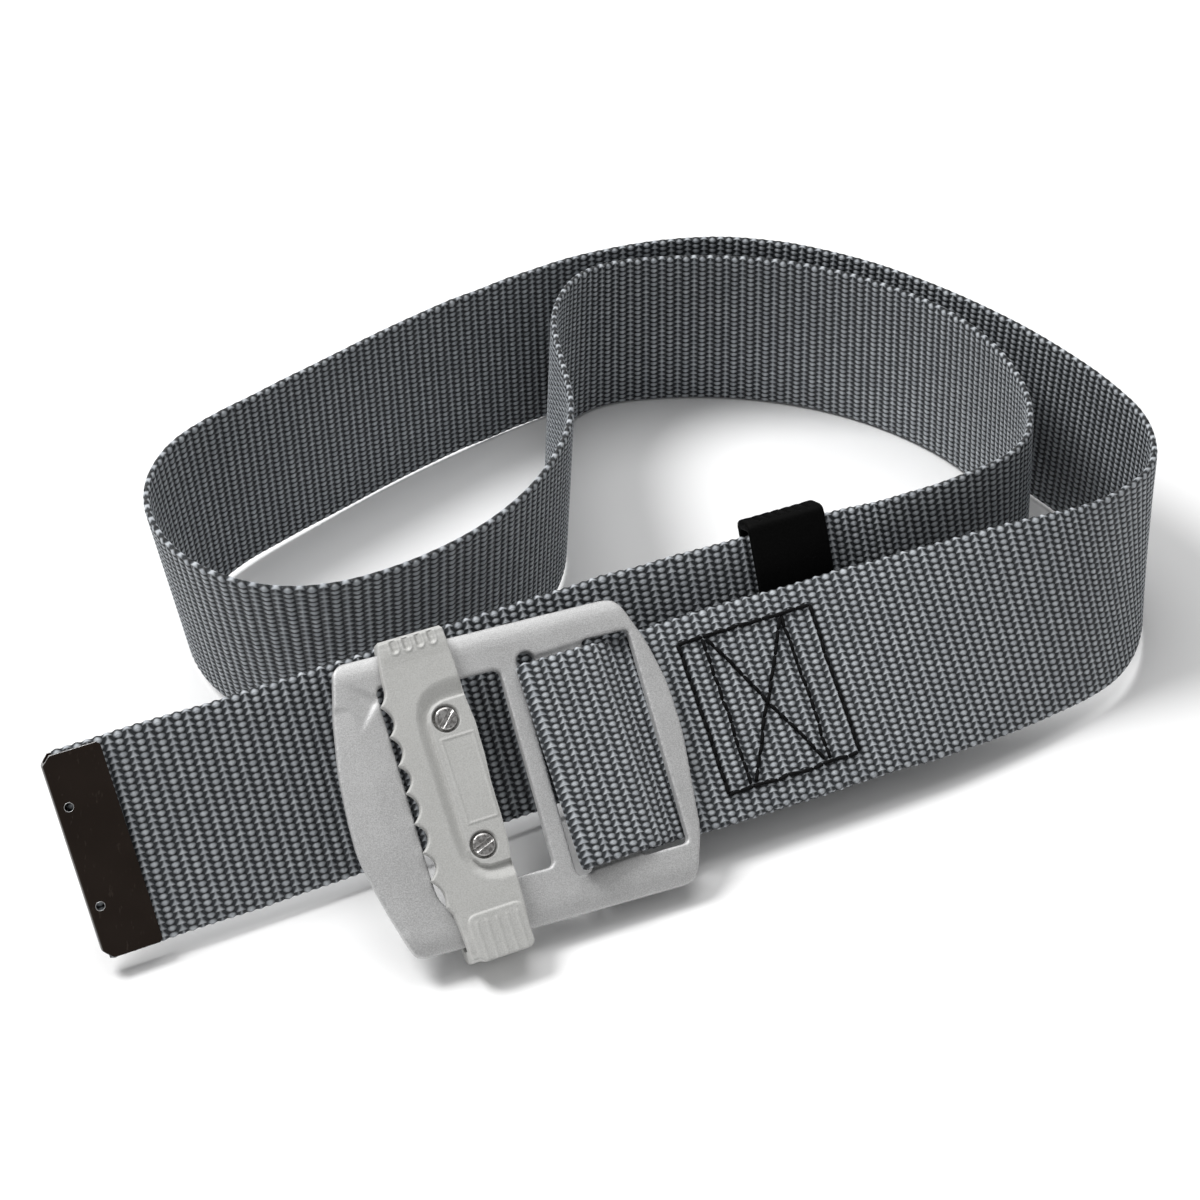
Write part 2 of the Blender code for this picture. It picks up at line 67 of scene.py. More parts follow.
def make_camera():
    look = Vector((0, math.cos(PITCH_DOWN), -math.sin(PITCH_DOWN)))
    up_level = Vector((0, math.sin(PITCH_DOWN), math.cos(PITCH_DOWN)))
    right_level = Vector((1, 0, 0))
    right = right_level * math.cos(ROLL) + up_level * math.sin(ROLL)
    up = -right_level * math.sin(ROLL) + up_level * math.cos(ROLL)
    turn = REST_TILT_3 @ Matrix((right, up, -look)).transposed()
    data = bpy.data.cameras.new("belt_camera")
    data.lens = LENS
    data.sensor_width = 36.0
    data.clip_start = 0.01
    cam = bpy.data.objects.new("belt_camera", data)
    bpy.context.scene.collection.objects.link(cam)
    cam.matrix_world = Matrix.Translation(LAY_TO_FLOOR @ Vector((0, 0, CAMERA_HEIGHT))) @ turn.to_4x4()
    bpy.context.scene.camera = cam
    return cam


REST_TILT_3 = Matrix.Rotation(REST_TILT, 3, "X")
camera = make_camera()
print("camera at", [round(v, 4) for v in camera.matrix_world.translation])

# %% [markdown]
# ## The strap's path
# Webbing bends only the easy way, so a lying belt is a ribbon standing on its lower edge. Its path is a list of
# stretches, each with a length and a turn. Two more lists say how far the ribbon leans and how high its edge lifts.
# These rows are the same as in the part's source, because the woven surface has to lie on the same band.

# %% Path tables, in millimetres and degrees
WIDTH = 50.0
THICK = 1.8
EASE = 6.0
START = (-102.1, 377.7, 23.2)
RUNS = [
    (125, 2), (20, -3.5), (40, 0), (20, 17), (15, 5), (20, 19.5),
    (25, 32), (20, 17), (25, 21.5), (35, 22.5), (40, 23), (20, 10),
    (20, 53), (25, 35), (25, 2),
    (20, -24.5), (20, -18), (30, -24.5), (25, -18), (25, -45.5), (15, -22.5),
    (20, -30), (20, -36), (15, -17), (15, -2.5), (20, 0), (65, -11),
    (20, -12), (20, -12), (25, -22.5), (30, -16.5), (40, -13.5),
    (35, -11), (20, -13.5), (20, -26.5), (20, -22), (15, -23.5), (20, -7),
    (40, -7.5), (72, 0),
]
LEAN = [
    (-15, 30), (40, 29.5), (70, 30.5), (110, 30.5), (146, 26), (184, 26), (205, 18), (240, 3), (500, 4), (570, 8),
    (630, 6), (665, 0), (955, 1), (975, -3), (995, -15), (1010, -23), (1030, -33), (1075, -50.5), (1250, -50.5),
]
LIFT = [(-15, 0), (975, 0), (1075, 5.5), (1250, 5.5)]
CAP_IN = 11.3
TAIL_X = 69.3
SPLIT_X = 25.5
LOOP_WIDTH = 49.0
LOOP_PATH = [
    (20, 0), (15, 0), (13, 0.9), (11, 2.1), (9, 3.5), (7, 4.75), (3.5, 5.25), (0, 5.7), (-4, 6.2), (-6.8, 6.8),
    (-8.4, 7.2), (-9.7, 7.1), (-10.4, 6.4), (-10.2, 5.7), (-9.3, 5.15), (-8.55, 4.3), (-8.6, 3.2), (-8.6, 2.4),
    (-8.55, 1.5), (-8.0, 0.6), (-6.8, 0.1), (-5, 0), (-2, -0.2), (3, -1.3), (9, -2.4), (15, -2.5), (20, -2.2),
]


def eased(rows, s):
    xs, ys = np.array(rows, float).T
    offs = np.linspace(-EASE, EASE, 5)
    return sum(np.interp(s + o, xs, ys) for o in offs) / len(offs)


def strap_path(ds=1.0):
    ends = np.concatenate([[0], np.cumsum([r[0] for r in RUNS])])
    head = START[2] + np.concatenate([[0], np.cumsum([r[1] for r in RUNS])])
    s = np.arange(0, ends[-1] + 1e-6, ds)
    h = np.radians(eased(list(zip(ends, head)), s))
    dx, dy = np.cos(h) * ds, np.sin(h) * ds
    x = START[0] + np.concatenate([[0], np.cumsum((dx[1:] + dx[:-1]) / 2)])
    y = START[1] + np.concatenate([[0], np.cumsum((dy[1:] + dy[:-1]) / 2)])
    return s, x, y, h


S, PX, PY, HEAD = strap_path()
S_END = float(S[-1])
print("strap length to the crossbar", S_END, "mm")


# %% Places along the strap
def place(s):
    """Arrays of lower edge points, and directions along, up and out, for distances s."""
    s = np.atleast_1d(np.asarray(s, float))
    h = np.interp(s, S, HEAD)
    back = np.minimum(s, 0)
    x = np.interp(s, S, PX) + back * np.cos(h)
    y = np.interp(s, S, PY) + back * np.sin(h)
    lean = np.radians(eased(LEAN, s))
    zero = np.zeros_like(s)
    along = np.stack([np.cos(h), np.sin(h), zero], 1)
    up = np.stack([-np.sin(h) * np.sin(lean), np.cos(h) * np.sin(lean), np.cos(lean)], 1)
    return np.stack([x, y, eased(LIFT, s)], 1), along, up, np.cross(along, up)


END, end_along, UP, _ = (a[0] for a in place(S_END))
AXIS_X = -end_along
AXIS_Z = np.cross(AXIS_X, UP)
TO_FLOOR = np.array(LAY_TO_FLOOR)


def to_floor(points):
    points = np.asarray(points, float)
    return points @ TO_FLOOR[:3, :3].T + TO_FLOOR[:3, 3]


def buckle(x, y, z):
    return END + AXIS_X * x + UP * (y + WIDTH / 2) + AXIS_Z * z


# %% [markdown]
# ## The woven band
# Heavy webbing shows ribs that run across its width, each made of short floats of thick yarn. Drawing every float
# as mesh would cost millions of faces, and a flat band with a picture on it has a dead, straight edge. Here the
# ribs and the beaded selvedges are real mesh, and the floats sit on them as height and colour from nodes, which
# follow two numbers kept in the UV map: millimetres along the strap, and millimetres across it.

# %% Stations of the band, from the tip to the end of the sewn tail
RIB_PITCH = 2.302
FLOAT_PITCH = 1.56
ROWS_PER_RIB = 6
RIB_RELIEF = 0.16     # half height of a rib
EDGE_FLAT = 1.1       # where the flat faces stop before the selvedges
BEAD = 0.16           # swing of the beaded selvedges
TAIL_GAP = 0.04       # the sewn tail is pulled almost into the front layer


def resample(points, step):
    points = np.asarray(points, float)
    for _ in range(2):
        inner = 0.25 * points[:-2] + 0.5 * points[1:-1] + 0.25 * points[2:]
        points = np.vstack([points[:1], (points[1:-1] + inner) / 2, points[-1:]])
    d = np.concatenate([[0], np.cumsum(np.linalg.norm(np.diff(points, axis=0), axis=1))])
    q = np.linspace(0, d[-1], max(int(round(d[-1] / step)), 2) + 1)
    return np.stack([np.interp(q, d, points[:, k]) for k in range(points.shape[1])], 1)


def band_stations():
    step = RIB_PITCH / ROWS_PER_RIB
    run = np.arange(-CAP_IN, S_END - SPLIT_X, step)
    base, _, up, out = place(run)
    tail_z = -THICK - TAIL_GAP
    fine = resample([(SPLIT_X - 2, 0)] + LOOP_PATH + [(SPLIT_X, tail_z), (40, tail_z), (TAIL_X, tail_z)], step)
    tan = np.gradient(fine, axis=0)
    tan /= np.linalg.norm(tan, axis=1)[:, None]
    inside = np.clip((SPLIT_X - fine[:, 0]) / 10, 0, 1)
    scale = 1 - (1 - LOOP_WIDTH / WIDTH) * inside
    low = END + np.outer(fine[:, 0], AXIS_X) + np.outer(WIDTH / 2 * (1 - scale), UP) + np.outer(fine[:, 1], AXIS_Z)
    out3 = np.outer(tan[:, 0], AXIS_Z) - np.outer(tan[:, 1], AXIS_X)
    n = len(fine)
    base = np.vstack([base, low])
    up = np.vstack([up, np.tile(UP, (n, 1)) * scale[:, None]])
    out = np.vstack([out, out3])
    d = np.concatenate([[0], np.cumsum(np.linalg.norm(np.diff(base, axis=0), axis=1))])
    return base, up, out, d


BASE, UPS, OUTS, DIST = band_stations()
STRAP_LENGTH = float(DIST[-1])
print("stations", len(BASE), "cut length mm", round(STRAP_LENGTH, 1))


# %% The band as one closed mesh
def build_band():
    across = np.linspace(EDGE_FLAT, WIDTH - EDGE_FLAT, 11)
    rib = -np.cos(2 * math.pi * DIST / RIB_PITCH)
    rng = np.random.default_rng(4)
    wave = np.interp(DIST, np.arange(0, STRAP_LENGTH + 30, 9.0), rng.normal(0, 0.10, int(STRAP_LENGTH // 9) + 5))
    half = THICK / 2
    thick = half - RIB_RELIEF + RIB_RELIEF * rib
    ring = []
    for v in across:
        ring.append((v + 0 * rib, thick, v))
    bead = BEAD * rib
    ring.append((WIDTH - 0.25 + bead * 0.5 + wave, half - 0.30 + 0 * rib, WIDTH - 0.4))
    ring.append((WIDTH + 0.05 + bead + wave, 0 * rib, WIDTH))
    ring.append((WIDTH - 0.25 + bead * 0.5 + wave, -(half - 0.30) + 0 * rib, WIDTH - 0.4))
    for v in across[::-1]:
        ring.append((v + 0 * rib, -thick, v))
    ring.append((0.25 - bead * 0.5 + wave, -(half - 0.30) + 0 * rib, 0.4))
    ring.append((-0.05 - bead + wave, 0 * rib, 0.0))
    ring.append((0.25 - bead * 0.5 + wave, half - 0.30 + 0 * rib, 0.4))
    m, n = len(ring), len(BASE)
    verts = np.stack([BASE + UPS * v[:, None] + OUTS * w[:, None] for v, w, _ in ring], 1)
    verts = to_floor(verts.reshape(-1, 3))
    k = np.arange(n - 1)[:, None] * m
    j = np.arange(m)[None, :]
    j2 = (j + 1) % m
    quads = np.stack([k + j, k + m + j, k + m + j2, k + j2], 2).reshape(-1, 4)
    caps = [list(range(m)), list(range((n - 1) * m, n * m))[::-1]]
    mesh = bpy.data.meshes.new("webbing")
    mesh.from_pydata(verts.tolist(), [], quads.tolist() + caps)
    vv = np.array([r[2] for r in ring])
    uv = mesh.uv_layers.new(name="weave")
    idx = np.zeros(len(mesh.loops), np.int32)
    mesh.loops.foreach_get("vertex_index", idx)
    pairs = np.stack([DIST[idx // m], vv[idx % m]], 1).astype(np.float32)
    uv.data.foreach_set("uv", pairs.ravel())
    mesh.polygons.foreach_set("use_smooth", [True] * len(mesh.polygons))
    mesh.update()
    ob = bpy.data.objects.new("webbing", mesh)
    bpy.context.scene.collection.objects.link(ob)
    return ob


webbing = build_band()
bm = bmesh.new()
bm.from_mesh(webbing.data)
if bm.calc_volume(signed=True) < 0:
    bmesh.ops.reverse_faces(bm, faces=bm.faces)
    bm.to_mesh(webbing.data)
bm.free()
print("webbing faces", len(webbing.data.polygons))

# %% [markdown]
# ## Small tools for node materials
# Each finish is a Principled shader with colour, roughness and height from nodes. A helper that adds one maths
# node at a time keeps the recipes readable, and an effect that several finishes share becomes a group.

# %% Node helpers
def add(tree, kind, **props):
    node = tree.nodes.new(kind)
    for key, value in props.items():
        setattr(node, key, value)
    return node


def plug(tree, value, socket):
    if hasattr(value, "is_output") or isinstance(value, bpy.types.NodeSocket):
        tree.links.new(value, socket)
    else:
        socket.default_value = value


def math_node(tree, operation, a, b=0.0, c=0.0):
    node = add(tree, "ShaderNodeMath", operation=operation)
    for value, socket in zip((a, b, c), node.inputs):
        plug(tree, value, socket)
    return node.outputs[0]


def map_node(tree, value, lo, hi, out_lo=0.0, out_hi=1.0):
    node = add(tree, "ShaderNodeMapRange", interpolation_type="SMOOTHSTEP")
    for given, socket in zip((value, lo, hi, out_lo, out_hi), node.inputs):
        plug(tree, given, socket)
    return node.outputs[0]


def mix_colour(tree, factor, a, b):
    node = add(tree, "ShaderNodeMix", data_type="RGBA")
    plug(tree, factor, node.inputs[0])
    for value, socket in ((a, node.inputs[6]), (b, node.inputs[7])):
        plug(tree, (*value, 1) if isinstance(value, tuple) and len(value) == 3 else value, socket)
    return node.outputs[2]


def noise(tree, vector, scale, detail=3.0, roughness=0.55):
    node = add(tree, "ShaderNodeTexNoise")
    plug(tree, vector, node.inputs["Vector"])
    node.inputs["Scale"].default_value = scale
    node.inputs["Detail"].default_value = detail
    node.inputs["Roughness"].default_value = roughness
    return node.outputs["Fac"]


def new_group(name, inputs, outputs):
    group = bpy.data.node_groups.new(name, "ShaderNodeTree")
    for label, kind, value in inputs:
        socket = group.interface.new_socket(label, in_out="INPUT", socket_type=kind)
        if value is not None:
            socket.default_value = value
    for label, kind in outputs:
        group.interface.new_socket(label, in_out="OUTPUT", socket_type=kind)
    return group, add(group, "NodeGroupInput").outputs, add(group, "NodeGroupOutput").inputs


def material(name, roughness=0.5, metallic=0.0):
    mat = bpy.data.materials.new(name)
    mat.use_nodes = True
    shader = mat.node_tree.nodes["Principled BSDF"]
    shader.inputs["Roughness"].default_value = roughness
    shader.inputs["Metallic"].default_value = metallic
    return mat, mat.node_tree, shader


def use_group(tree, group, **values):
    node = add(tree, "ShaderNodeGroup", node_tree=group)
    for key, value in values.items():
        plug(tree, value, node.inputs[key.replace("_", " ")])
    return node


def bump(tree, shader, height, distance):
    node = add(tree, "ShaderNodeBump")
    node.inputs["Distance"].default_value = distance
    node.inputs["Strength"].default_value = 1.0
    tree.links.new(height, node.inputs["Height"])
    tree.links.new(node.outputs["Normal"], shader.inputs["Normal"])


print("node helpers ready")

# %% [markdown]
# ## The weave as a node group
# Along the strap the ribs repeat every 2.3 mm. Within a rib the floats repeat every 1.6 mm across the strap, and
# each next rib is shifted by half a float, like bricks. Floats on the even ribs are ovals, and those on the odd ribs
# are bells whose peaks reach the next base. The group gives a height, a mask of lit yarn with a painted highlight
# along each float's middle, a mask of the holes that get painted shade, and a random number for each float.

# %% Weave group
def weave_group():
    group, gin, gout = new_group(
        "woven_floats",
        [("Along", "NodeSocketFloat", 0.0), ("Across", "NodeSocketFloat", 0.0),
         ("Rib Pitch", "NodeSocketFloat", RIB_PITCH), ("Float Pitch", "NodeSocketFloat", FLOAT_PITCH)],
        [("Height", "NodeSocketFloat"), ("Yarn", "NodeSocketFloat"), ("Pit", "NodeSocketFloat"),
         ("Random", "NodeSocketFloat")])
    t = group
    rib = math_node(t, "DIVIDE", gin["Along"], gin["Rib Pitch"])
    rib_i = math_node(t, "FLOOR", rib)
    x2 = math_node(t, "ABSOLUTE", math_node(t, "MULTIPLY_ADD", math_node(t, "FRACT", rib), 2.0, -1.0))
    odd = math_node(t, "FLOORED_MODULO", rib_i, 2.0)
    row = math_node(t, "MULTIPLY_ADD", odd, 0.5, math_node(t, "DIVIDE", gin["Across"], gin["Float Pitch"]))
    row_i = math_node(t, "FLOOR", row)
    y = math_node(t, "SUBTRACT", math_node(t, "FRACT", row), 0.5)
    y2 = math_node(t, "ABSOLUTE", math_node(t, "MULTIPLY", y, 2.0))
    # oval floats on even ribs
    oval = math_node(t, "SUBTRACT", 1.0, math_node(t, "POWER", x2, 1.9))
    oval = math_node(t, "SUBTRACT", oval, math_node(t, "POWER", math_node(t, "MULTIPLY", y2, 1.06), 1.7))
    # bell shaped floats on odd ribs, wide below and narrow above
    wide = math_node(t, "POWER", math_node(t, "SUBTRACT", 0.5, y), 1.25)
    bell = math_node(t, "SUBTRACT", math_node(t, "MULTIPLY_ADD", wide, 1.15, 0.22), math_node(t, "POWER", x2, 1.3))
    bell = math_node(t, "MINIMUM", math_node(t, "MULTIPLY", bell, 1.5), math_node(t, "MULTIPLY_ADD", y, 5.0, 2.05))
    shape = math_node(t, "MULTIPLY_ADD", odd, math_node(t, "SUBTRACT", bell, oval), oval)
    # each float gets a painted highlight along its middle, and on the odd ribs the peak of one reaches the base of
    # the next
    highlight_stem = math_node(t, "MULTIPLY", map_node(t, x2, 0.42, 0.0, 0.0, 0.55), odd)
    yarn = math_node(t, "MULTIPLY", map_node(t, shape, -0.15, 0.6), map_node(t, shape, 0.1, 0.95, 0.5, 1.0))
    yarn = math_node(t, "MAXIMUM", yarn, highlight_stem)
    # painted shade: the holes under each float, darkest at its low end and towards its middle
    low = math_node(t, "MULTIPLY_ADD", odd, math_node(t, "SUBTRACT", math_node(t, "MULTIPLY", y, -2.0), y2), y2)
    painted_shade_pit = math_node(t, "MULTIPLY", map_node(t, low, 0.60, 0.86), map_node(t, x2, 1.0, 0.6))
    dome = math_node(t, "SUBTRACT", 1.0, math_node(t, "MULTIPLY", x2, x2))
    fibre = math_node(t, "SINE", math_node(t, "MULTIPLY_ADD", y, 26.0, math_node(t, "MULTIPLY", x2, 5.0)))
    height = math_node(t, "MULTIPLY_ADD", yarn, 0.55, math_node(t, "MULTIPLY", dome, 0.6))
    height = math_node(t, "MULTIPLY_ADD", math_node(t, "MULTIPLY", fibre, yarn), 0.03, height)
    cell = add(t, "ShaderNodeCombineXYZ")
    t.links.new(rib_i, cell.inputs[0])
    t.links.new(row_i, cell.inputs[1])
    rnd = add(t, "ShaderNodeTexWhiteNoise", noise_dimensions="3D")
    t.links.new(cell.outputs[0], rnd.inputs["Vector"])
    t.links.new(height, gout["Height"])
    t.links.new(yarn, gout["Yarn"])
    t.links.new(painted_shade_pit, gout["Pit"])
    t.links.new(rnd.outputs["Value"], gout["Random"])
    return group


WEAVE = weave_group()
print("group", WEAVE.name, "nodes", len(WEAVE.nodes))

# %% [markdown]
# ## Grey yarn
# The yarn is a cool grey that varies a little from float to float, with a painted highlight along each float's
# middle.
# The gaps between floats are painted almost black as shade, and the holes blacker still. The masks of the weave
# group choose between them, and its height bends the light so that each float looks round.

# %% Webbing material
def webbing_material():
    mat, t, shader = material("webbing_grey", roughness=0.62)
    uv = add(t, "ShaderNodeUVMap", uv_map="weave")
    split = add(t, "ShaderNodeSeparateXYZ")
    t.links.new(uv.outputs[0], split.inputs[0])
    w = use_group(t, WEAVE, Along=split.outputs[0], Across=split.outputs[1],
                  Rib_Pitch=RIB_PITCH, Float_Pitch=FLOAT_PITCH)
    lit = mix_colour(t, w.outputs["Random"], (0.40, 0.425, 0.455), (0.53, 0.56, 0.59))
    fuzz = noise(t, uv.outputs[0], 0.9, 4.0)
    lit = mix_colour(t, map_node(t, fuzz, 0.45, 0.75, 0.0, 0.4), lit, (0.27, 0.29, 0.315))
    # painted shade: the yarn in the gaps between floats is almost black, and blacker still in the holes
    painted_gap_shade = mix_colour(t, w.outputs["Pit"], (0.024, 0.028, 0.033), (0.002, 0.003, 0.004))
    t.links.new(mix_colour(t, w.outputs["Yarn"], painted_gap_shade, lit), shader.inputs["Base Color"])
    bump(t, shader, w.outputs["Height"], 0.55 * MM)
    shader.inputs["Sheen Weight"].default_value = 0.08
    shader.inputs["Sheen Roughness"].default_value = 0.4
    return mat


webbing.data.materials.append(webbing_material())
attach(webbing, "strap")
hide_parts("webbing_strap")
print("webbing dressed")

# %% [markdown]
# ## Box stitching
# The tail is sewn down with a box, two cross lines and an X in thick black thread. Each stitch is a short rounded
# capsule that dips into the ribs at both ends. They are one joined mesh, on the front and again on the tail behind.

# %% Stitches
THREAD_R = 0.48
THREAD_LIFT = 0.22                  # height of the thread's middle over the webbing's mean face
STITCH = 3.0
BOX = (29.6, 64.0, -18.3, 19.0)     # left, right, lower, upper, in the buckle plane
CROSS_LINES = (35.7, 56.5)
X_LINES = [((36.7, 18.2), (55.2, -17.2)), ((56.2, 18.0), (36.9, -17.3))]


def stitch_lines():
    x0, x1, y0, y1 = BOX
    lines = [((x0, y0), (x0, y1)), ((x0, y1), (x1, y1)), ((x1, y1), (x1, y0)), ((x1, y0), (x0, y0))]
    lines += [((x, y0 + 0.6), (x, y1 - 0.6)) for x in CROSS_LINES]
    return lines + X_LINES


def add_capsule(verts, faces, a, b, out, radius, sides=6):
    a, b, out = (np.asarray(p, float) for p in (a, b, out))
    t = (b - a) / np.linalg.norm(b - a)
    side = np.cross(t, out)
    rings = [(0.0, 0.5, -0.8), (0.12, 0.9, -0.25), (0.5, 1.0, 0.0), (0.88, 0.9, -0.25), (1.0, 0.5, -0.8)]
    start = len(verts)
    for f, r, drop in rings:
        c = a + (b - a) * f + out * drop * radius
        for k in range(sides):
            ang = 2 * math.pi * k / sides
            verts.append(c + (side * math.cos(ang) + out * math.sin(ang)) * radius * r)
    for i in range(len(rings) - 1):
        for k in range(sides):
            p = start + i * sides
            q = (k + 1) % sides
            faces.append((p + k, p + sides + k, p + sides + q, p + q))
    faces.append(tuple(range(start, start + sides)))
    faces.append(tuple(range(start + (len(rings) - 1) * sides, start + len(rings) * sides))[::-1])


def mesh_piece(name, verts, faces):
    mesh = bpy.data.meshes.new(name)
    mesh.from_pydata(to_floor(np.array(verts)).tolist(), [], faces)
    b = bmesh.new()
    b.from_mesh(mesh)
    bmesh.ops.recalc_face_normals(b, faces=b.faces)
    b.to_mesh(mesh)
    b.free()
    mesh.polygons.foreach_set("use_smooth", [True] * len(mesh.polygons))
    ob = bpy.data.objects.new(name, mesh)
    bpy.context.scene.collection.objects.link(ob)
    return ob


def build_stitches():
    rng = np.random.default_rng(11)
    front = THICK / 2 + THREAD_LIFT
    back = -THICK * 1.5 - TAIL_GAP - THREAD_LIFT
    verts, faces = [], []
    for (xa, ya), (xb, yb) in stitch_lines():
        count = max(int(round(math.hypot(xb - xa, yb - ya) / STITCH)), 1)
        jog = rng.normal(0, 0.16, (count + 1, 2))
        pts = []
        for k in range(count + 1):
            pts.append(np.array([xa + (xb - xa) * k / count, ya + (yb - ya) * k / count]) + jog[k])
        for p, q in zip(pts, pts[1:]):
            for z, out in ((front, AXIS_Z), (back, -AXIS_Z)):
                gap = (q - p) * 0.01
                add_capsule(verts, faces, buckle(*(p + gap), z), buckle(*(q - gap), z), out, THREAD_R)
    return mesh_piece("box_stitching", verts, faces)


stitching = build_stitches()
print("stitching faces", len(stitching.data.polygons))


# %% Thread material
def thread_material():
    mat, t, shader = material("black_thread", roughness=0.85)
    shader.inputs["Specular IOR Level"].default_value = 0.15
    coord = add(t, "ShaderNodeTexCoord").outputs["Object"]
    grain = noise(t, coord, 2200.0, 2.0)
    t.links.new(mix_colour(t, grain, (0.001, 0.001, 0.001), (0.006, 0.006, 0.007)), shader.inputs["Base Color"])
    bump(t, shader, grain, 0.1 * MM)
    return mat


stitching.data.materials.append(thread_material())
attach(stitching, "strap")
print("stitching dressed")

# %% [markdown]
# ## Hard pieces
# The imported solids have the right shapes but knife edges, and a casting has none. For the frame and the keeper a
# copy of the solid gets a new skin of small even cells, which is then relaxed: every edge rounds over by a few
# tenths of a millimetre, as blasting and moulding leave it. The thin tip only gets narrow bevels.

# %% Copies of the solids with rounded edges
FINE = 1.0


def dressed(ob, node, body):
    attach(ob, body)
    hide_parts(node)
    print(ob.name, "faces", len(ob.data.polygons))
    return ob


def applied(ob):
    graph = bpy.context.evaluated_depsgraph_get()
    mesh = bpy.data.meshes.new_from_object(ob.evaluated_get(graph))
    ob.modifiers.clear()
    ob.data = mesh
    ob.data.polygons.foreach_set("use_smooth", [True] * len(ob.data.polygons))
    return ob


def reskinned(ob, cell, relax):
    mod = ob.modifiers.new("skin", "REMESH")
    mod.mode = "VOXEL"
    mod.voxel_size = cell * MM * FINE
    mod = ob.modifiers.new("relax", "SMOOTH")
    mod.iterations = relax
    mod.factor = 0.5
    return applied(ob)


def copy_of(node, name):
    ob = bpy.data.objects.new(name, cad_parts[node].data.copy())
    bpy.context.scene.collection.objects.link(ob)
    ob.data.materials.clear()
    return ob


def bevelled(node, name, width):
    ob = copy_of(node, name)
    b = bmesh.new()
    b.from_mesh(ob.data)
    bmesh.ops.remove_doubles(b, verts=b.verts, dist=1e-6)
    bmesh.ops.dissolve_limit(b, angle_limit=math.radians(1.0), verts=b.verts, edges=b.edges)
    b.to_mesh(ob.data)
    b.free()
    ob.data.polygons.foreach_set("use_smooth", [True] * len(ob.data.polygons))
    mod = ob.modifiers.new("soft_edges", "BEVEL")
    mod.width = width * MM
    mod.segments = 3
    mod.limit_method = "ANGLE"
    mod.angle_limit = math.radians(30)
    mod = ob.modifiers.new("flat_faces", "WEIGHTED_NORMAL")
    mod.weight = 100
    return applied(ob)


frame_skin = reskinned(copy_of("buckle_frame", "cast_frame"), cell=0.36, relax=9)
buckle_frame = dressed(frame_skin, "buckle_frame", "strap")
keeper_skin = reskinned(copy_of("keeper", "keeper_loop"), cell=0.3, relax=6)
keeper = dressed(keeper_skin, "keeper", "keeper")
tip = dressed(bevelled("end_tip", "strap_tip", width=0.12), "end_tip", "strap")

# %% [markdown]
# ## The toothed slider
# The slider is the most worked piece: a plate with a scalloped edge, a hook round each rail, and a hollow with a
# soft shoulder that holds a raised plate with two screw seats. It is built from its outlines. Plate, hooks and thumb
# pad are welded by one skin, and then the front is pressed in or raised with smooth heights from distances.

# %% Slider outlines, in millimetres
SLIDER_AT = (1.1, 0.1, 2.7)
PLATE_Z = (1.8, 4.6)
TEETH = [
    (-42.7, 27.9), (-44.7, 24.3), (-42.8, 20.3), (-44.8, 17.2), (-42.95, 13.8), (-45.0, 10.4), (-43.05, 7.1),
    (-45.2, 4.0), (-43.25, 0.4), (-45.5, -3.1), (-43.45, -6.4), (-45.7, -9.9), (-43.75, -13.1), (-46.0, -16.4),
    (-44.0, -20.5), (-44.4, -23.1),
]
RIGHT_SIDE = [
    (-28.2, -36.2), (-27.9, -33.6), (-27.3, -27.9), (-27, -21.8), (-27.1, -17.1), (-26.4, -12.5), (-26.1, -6),
    (-26.0, 0.6), (-25.4, 7), (-25.1, 15), (-25.6, 21.7), (-25.4, 29.2), (-25.7, 38),
]
SHOULDER = [
    (-20, 26.6), (-29, 26.5), (-32.5, 26), (-35.2, 24.7), (-37.2, 22.4), (-38.3, 19), (-38.7, 14), (-38.8, -10),
    (-38.3, -14.2), (-36.9, -17.3), (-34.4, -19.7), (-31, -21), (-20, -21.6),
]
ISLAND = [
    (-20, 21.8), (-31.0, 21.8), (-33.2, 21.2), (-34.8, 19.7), (-35.6, 17.6), (-35.9, -12.5), (-35.5, -14.6),
    (-34.3, -16.3), (-32.2, -17.2), (-20, -17.2),
]
SEATS = [(-31.4, 17.5, 45), (-32.1, -12.2, 20)]     # across, up, and the turn of the screw's slot
RECESS_DEPTH = 1.35
ISLAND_RISE = 1.05
SEAT_R = 3.2
SEAT_DEPTH = 1.0
LABEL = [(-34.0, 13.0), (-34.0, -6.8), (-26.9, -6.8), (-26.4, 13.0)]
PAD = (-41.0, -27.8, -37.2, -26.6)
UPPER_GROOVES = (-37.9, -34.9, -31.9, -28.9)
LOWER_RIBS = (-39.3, -36.9, -34.5, -32.1, -29.7)
print("teeth", len(TEETH) // 2, "screw seats", len(SEATS))


def slider_point(p):
    return buckle(*(np.asarray(p) + SLIDER_AT))


def scallops():
    pts = []
    for k, ((xa, ya), (xb, yb)) in enumerate(zip(TEETH, TEETH[1:])):
        for f in np.linspace(0, 1, 8)[:-1]:
            bow = f ** 2.1 if k % 2 == 0 else 1 - (1 - f) ** 2.1
            pts.append((xa + (xb - xa) * bow, ya + (yb - ya) * f))
    return pts


def prism(verts, faces, ring, lo, hi, axis):
    """Straight prism of a ring of 2-D points, run along one axis."""
    start, n = len(verts), len(ring)
    for level in (lo, hi):
        for a, b in ring:
            verts.append((a, b, level) if axis == 2 else (level, a, b))
    faces += [(start + k, start + (k + 1) % n, start + n + (k + 1) % n, start + n + k) for k in range(n)]
    faces += [tuple(range(start, start + n))[::-1], tuple(range(start + n, start + 2 * n))]


def rounded_box(x0, x1, y0, y1, r, n=6):
    pts = []
    for cx, cy, start in ((x1 - r, y1 - r, 0), (x0 + r, y1 - r, 90), (x0 + r, y0 + r, 180), (x1 - r, y0 + r, 270)):
        for k in range(n + 1):
            a = math.radians(start + 90 * k / n)
            pts.append((cx + r * math.cos(a), cy + r * math.sin(a)))
    return pts


